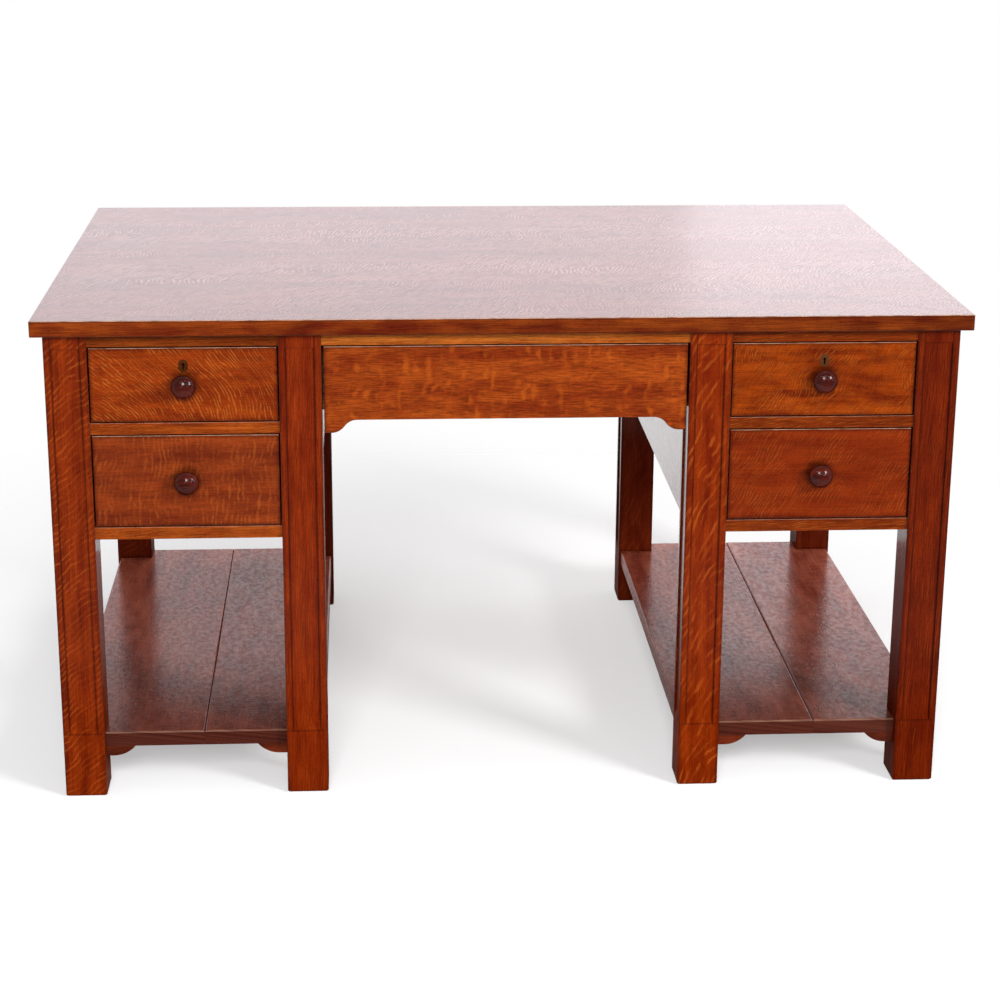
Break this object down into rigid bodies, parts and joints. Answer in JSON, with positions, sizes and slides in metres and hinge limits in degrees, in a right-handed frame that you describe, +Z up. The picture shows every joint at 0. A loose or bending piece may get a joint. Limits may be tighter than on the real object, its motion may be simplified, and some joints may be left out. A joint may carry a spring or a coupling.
{
  "type": "partners desk",
  "caption": "Partners desk: slab top on square posts, pedestals of drawers facing both long sides, a shaped drawer over the kneehole each side, and a low open shelf under each pedestal",
  "frame": {"origin": "on the floor, under the middle of the desk", "axes": "+Z up, +X along the desk to the right of someone sitting at the front, +Y from the front long side to the back one; the front faces -Y"},
  "size_m": [1.41, 0.98, 0.766],
  "materials": {
    "stained_oak": "quarter-sawn oak, red-brown stain under a glossy varnish",
    "plain_carcase_wood": "planed oak, unfinished",
    "drawer_lining_wood": "planed oak, thinly varnished",
    "turned_knob_wood": "turned hardwood, dark stain, polished",
    "lock_brass": "old rolled brass, dulled by handling"
  },
  "bodies": {
    "desk_frame": {"table_top": "stained_oak", "front_left_outer_post": "stained_oak", "front_left_inner_post": "stained_oak", "front_right_outer_post": "stained_oak", "front_right_inner_post": "stained_oak", "back_left_outer_post": "stained_oak", "back_left_inner_post": "stained_oak", "back_right_outer_post": "stained_oak", "back_right_inner_post": "stained_oak", "left_outer_side_panel": "stained_oak", "left_kneehole_side_panel": "stained_oak", "left_pedestal_rails": "stained_oak", "left_shelf": "stained_oak", "right_outer_side_panel": "stained_oak", "right_kneehole_side_panel": "stained_oak", "right_pedestal_rails": "stained_oak", "right_shelf": "stained_oak", "kneehole_rails": "stained_oak", "drawer_dividers": "plain_carcase_wood", "drawer_runners": "plain_carcase_wood", "drawer_kickers": "plain_carcase_wood", "drawer_guides": "plain_carcase_wood", "top_glue_blocks": "plain_carcase_wood", "shelf_brackets": "stained_oak"},
    "front_left_upper_drawer_bolt": {"front_left_upper_drawer_bolt": "lock_brass"},
    "front_left_upper_drawer": {"front_left_upper_drawer_front": "stained_oak", "front_left_upper_drawer_box": "drawer_lining_wood", "front_left_upper_drawer_knob": "turned_knob_wood", "front_left_upper_drawer_lock": "lock_brass"},
    "front_right_upper_drawer_bolt": {"front_right_upper_drawer_bolt": "lock_brass"},
    "front_right_upper_drawer": {"front_right_upper_drawer_front": "stained_oak", "front_right_upper_drawer_box": "drawer_lining_wood", "front_right_upper_drawer_knob": "turned_knob_wood", "front_right_upper_drawer_lock": "lock_brass"},
    "back_left_upper_drawer_bolt": {"back_left_upper_drawer_bolt": "lock_brass"},
    "back_left_upper_drawer": {"back_left_upper_drawer_front": "stained_oak", "back_left_upper_drawer_box": "drawer_lining_wood", "back_left_upper_drawer_knob": "turned_knob_wood", "back_left_upper_drawer_lock": "lock_brass"},
    "back_right_upper_drawer_bolt": {"back_right_upper_drawer_bolt": "lock_brass"},
    "back_right_upper_drawer": {"back_right_upper_drawer_front": "stained_oak", "back_right_upper_drawer_box": "drawer_lining_wood", "back_right_upper_drawer_knob": "turned_knob_wood", "back_right_upper_drawer_lock": "lock_brass"},
    "front_left_lower_drawer": {"front_left_lower_drawer_front": "stained_oak", "front_left_lower_drawer_box": "drawer_lining_wood", "front_left_lower_drawer_knob": "turned_knob_wood"},
    "front_right_lower_drawer": {"front_right_lower_drawer_front": "stained_oak", "front_right_lower_drawer_box": "drawer_lining_wood", "front_right_lower_drawer_knob": "turned_knob_wood"},
    "back_left_lower_drawer": {"back_left_lower_drawer_front": "stained_oak", "back_left_lower_drawer_box": "drawer_lining_wood", "back_left_lower_drawer_knob": "turned_knob_wood"},
    "back_right_lower_drawer": {"back_right_lower_drawer_front": "stained_oak", "back_right_lower_drawer_box": "drawer_lining_wood", "back_right_lower_drawer_knob": "turned_knob_wood"},
    "front_kneehole_drawer": {"front_kneehole_drawer_front": "stained_oak", "front_kneehole_drawer_box": "drawer_lining_wood"},
    "back_kneehole_drawer": {"back_kneehole_drawer_front": "stained_oak", "back_kneehole_drawer_box": "drawer_lining_wood"}
  },
  "joints": [
    {"name": "front_left_upper_drawer_slide", "type": "slide", "parent": "desk_frame", "child": "front_left_upper_drawer", "axis": [0, -1, 0], "range_m": [0, 0.32]},
    {"name": "front_left_upper_drawer_bolt_throw", "type": "slide", "parent": "front_left_upper_drawer", "child": "front_left_upper_drawer_bolt", "axis": [0, 0, 1], "range_m": [0, 0.007]},
    {"name": "front_right_upper_drawer_slide", "type": "slide", "parent": "desk_frame", "child": "front_right_upper_drawer", "axis": [0, -1, 0], "range_m": [0, 0.32]},
    {"name": "front_right_upper_drawer_bolt_throw", "type": "slide", "parent": "front_right_upper_drawer", "child": "front_right_upper_drawer_bolt", "axis": [0, 0, 1], "range_m": [0, 0.007]},
    {"name": "back_left_upper_drawer_slide", "type": "slide", "parent": "desk_frame", "child": "back_left_upper_drawer", "axis": [0, 1, 0], "range_m": [0, 0.32]},
    {"name": "back_left_upper_drawer_bolt_throw", "type": "slide", "parent": "back_left_upper_drawer", "child": "back_left_upper_drawer_bolt", "axis": [0, 0, 1], "range_m": [0, 0.007]},
    {"name": "back_right_upper_drawer_slide", "type": "slide", "parent": "desk_frame", "child": "back_right_upper_drawer", "axis": [0, 1, 0], "range_m": [0, 0.32]},
    {"name": "back_right_upper_drawer_bolt_throw", "type": "slide", "parent": "back_right_upper_drawer", "child": "back_right_upper_drawer_bolt", "axis": [0, 0, 1], "range_m": [0, 0.007]},
    {"name": "front_left_lower_drawer_slide", "type": "slide", "parent": "desk_frame", "child": "front_left_lower_drawer", "axis": [0, -1, 0], "range_m": [0, 0.32]},
    {"name": "front_right_lower_drawer_slide", "type": "slide", "parent": "desk_frame", "child": "front_right_lower_drawer", "axis": [0, -1, 0], "range_m": [0, 0.32]},
    {"name": "back_left_lower_drawer_slide", "type": "slide", "parent": "desk_frame", "child": "back_left_lower_drawer", "axis": [0, 1, 0], "range_m": [0, 0.32]},
    {"name": "back_right_lower_drawer_slide", "type": "slide", "parent": "desk_frame", "child": "back_right_lower_drawer", "axis": [0, 1, 0], "range_m": [0, 0.32]},
    {"name": "front_kneehole_drawer_slide", "type": "slide", "parent": "desk_frame", "child": "front_kneehole_drawer", "axis": [0, -1, 0], "range_m": [0, 0.32]},
    {"name": "back_kneehole_drawer_slide", "type": "slide", "parent": "desk_frame", "child": "back_kneehole_drawer", "axis": [0, 1, 0], "range_m": [0, 0.32]}
  ]
}
